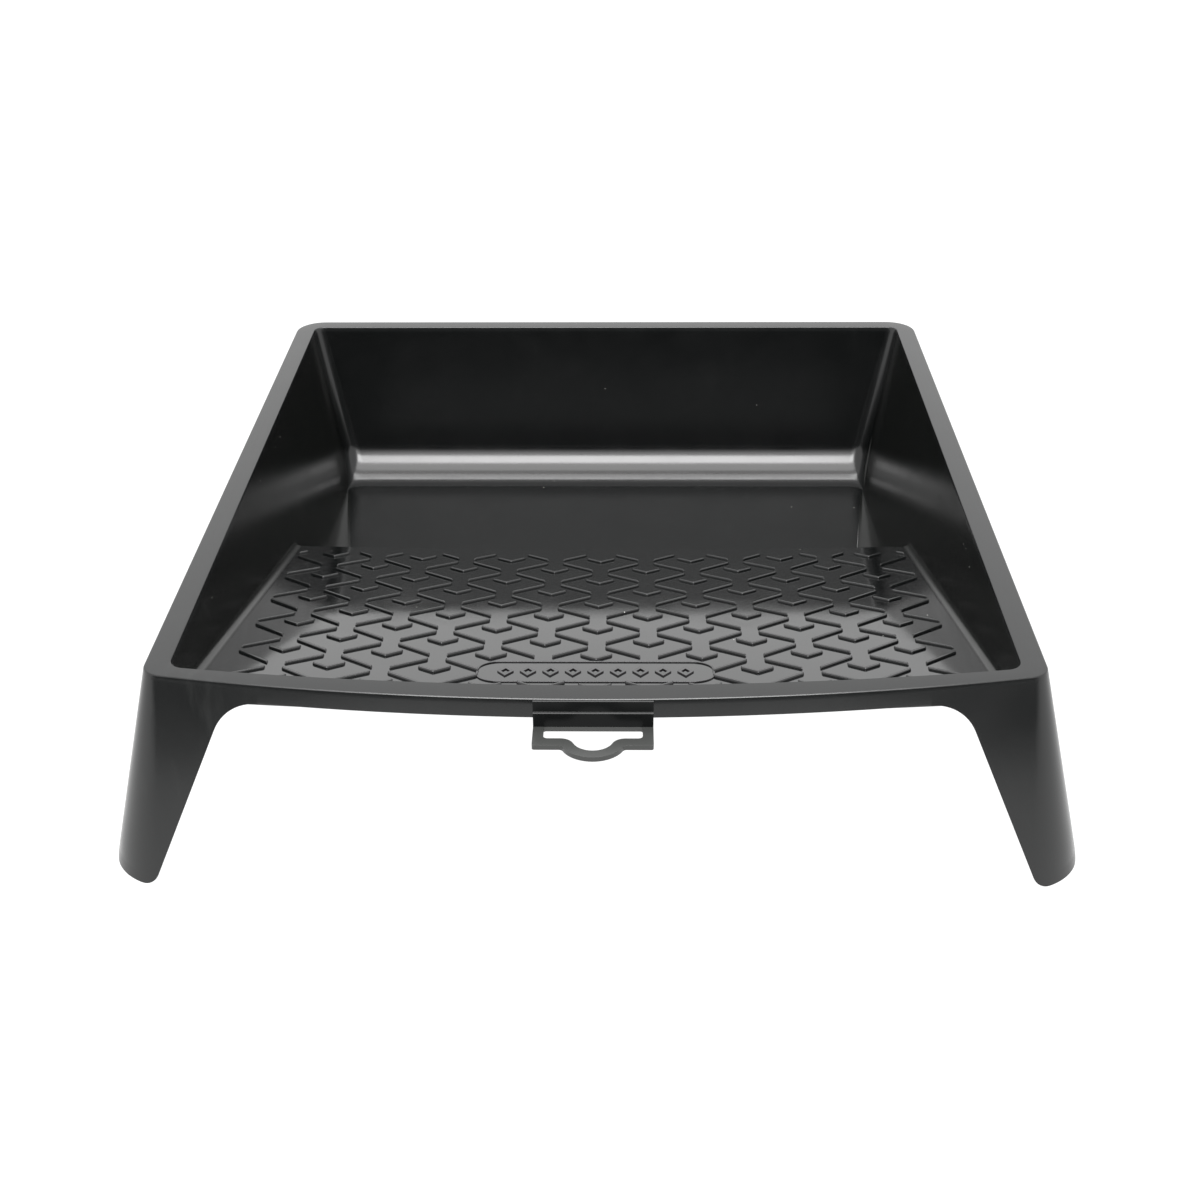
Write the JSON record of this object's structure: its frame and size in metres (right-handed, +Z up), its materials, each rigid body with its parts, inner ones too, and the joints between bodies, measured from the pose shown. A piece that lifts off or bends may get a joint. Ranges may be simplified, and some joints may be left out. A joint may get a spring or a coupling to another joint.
{
  "type": "paint roller tray",
  "caption": "Moulded paint roller tray: deep well, ribbed sloping ramp, bowed front lip on splayed corner legs, and a slotted hanging tab.",
  "frame": {"origin": "bottom centre of the bounding box, on the surface that the tray stands on", "axes": "+X to the right, +Y from the front lip and hanging tab to the deep end, +Z up"},
  "size_m": [0.3324, 0.3756, 0.0736],
  "materials": {
    "moulded_body": "semi-gloss moulded black polypropylene",
    "raised_ribs": "semi-gloss moulded black polypropylene"
  },
  "bodies": {
    "root": {"rim_front": "moulded_body", "rim_rear": "moulded_body", "rim_left": "moulded_body", "rim_right": "moulded_body", "front_wall": "moulded_body", "rear_wall": "moulded_body", "left_wall": "moulded_body", "right_wall": "moulded_body", "ramp": "moulded_body", "well_step": "moulded_body", "well_floor": "moulded_body", "zigzag_ribs": "raised_ribs", "chevron_ribs": "raised_ribs", "badge_border": "raised_ribs", "badge_lozenges": "raised_ribs", "apron_left": "moulded_body", "apron_right": "moulded_body", "skirt_left": "moulded_body", "skirt_right": "moulded_body", "skirt_rear": "moulded_body", "left_leg": "moulded_body", "right_leg": "moulded_body", "tab_web": "moulded_body", "hang_tab": "moulded_body"}
  },
  "joints": []
}
